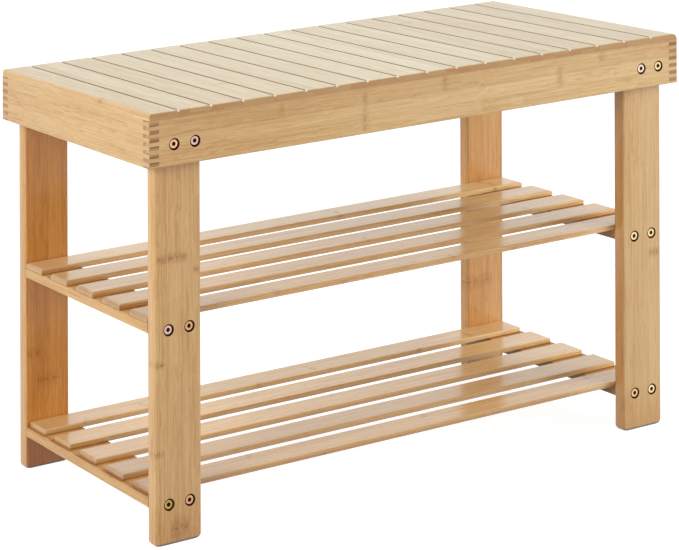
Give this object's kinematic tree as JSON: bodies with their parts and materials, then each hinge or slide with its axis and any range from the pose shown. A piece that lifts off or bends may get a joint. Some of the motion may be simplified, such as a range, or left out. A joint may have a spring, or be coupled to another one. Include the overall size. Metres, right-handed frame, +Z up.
{
  "type": "entryway bench",
  "caption": "Bamboo entryway bench with a V-grooved slat seat on a finger-jointed frame, flat board legs, and open slatted shelves for shoes underneath.",
  "frame": {"origin": "on the floor, under the middle of the seat", "axes": "+X along the seat's length to the right as seen from the front, +Y from the front to the back, +Z up"},
  "size_m": [0.7, 0.3052, 0.44],
  "materials": {
    "bamboo_seat": "clear satin lacquer",
    "bamboo_frame": "clear satin lacquer",
    "bamboo_leg": "clear satin lacquer",
    "bamboo_shelf": "clear satin lacquer",
    "yellow_metal": "satin yellow plating"
  },
  "bodies": {
    "root": {"apron_screws": "yellow_metal", "back_apron": "bamboo_frame", "front_apron": "bamboo_frame", "left_end_panel": "bamboo_frame", "leg_back_left": "bamboo_leg", "leg_back_right": "bamboo_leg", "leg_front_left": "bamboo_leg", "leg_front_right": "bamboo_leg", "lower_shelf_rail_left": "bamboo_shelf", "lower_shelf_rail_right": "bamboo_shelf", "lower_shelf_screws": "yellow_metal", "lower_shelf_slat_1": "bamboo_shelf", "lower_shelf_slat_2": "bamboo_shelf", "lower_shelf_slat_3": "bamboo_shelf", "lower_shelf_slat_4": "bamboo_shelf", "lower_shelf_slat_5": "bamboo_shelf", "middle_shelf_rail_left": "bamboo_shelf", "middle_shelf_rail_right": "bamboo_shelf", "middle_shelf_screws": "yellow_metal", "middle_shelf_slat_1": "bamboo_shelf", "middle_shelf_slat_2": "bamboo_shelf", "middle_shelf_slat_3": "bamboo_shelf", "middle_shelf_slat_4": "bamboo_shelf", "middle_shelf_slat_5": "bamboo_shelf", "right_end_panel": "bamboo_frame", "seat_slat_01": "bamboo_seat", "seat_slat_02": "bamboo_seat", "seat_slat_03": "bamboo_seat", "seat_slat_04": "bamboo_seat", "seat_slat_05": "bamboo_seat", "seat_slat_06": "bamboo_seat", "seat_slat_07": "bamboo_seat", "seat_slat_08": "bamboo_seat", "seat_slat_09": "bamboo_seat", "seat_slat_10": "bamboo_seat", "seat_slat_11": "bamboo_seat", "seat_slat_12": "bamboo_seat", "seat_slat_13": "bamboo_seat", "seat_slat_14": "bamboo_seat", "seat_slat_15": "bamboo_seat", "seat_slat_16": "bamboo_seat", "seat_slat_17": "bamboo_seat", "seat_slat_18": "bamboo_seat"}
  },
  "joints": []
}
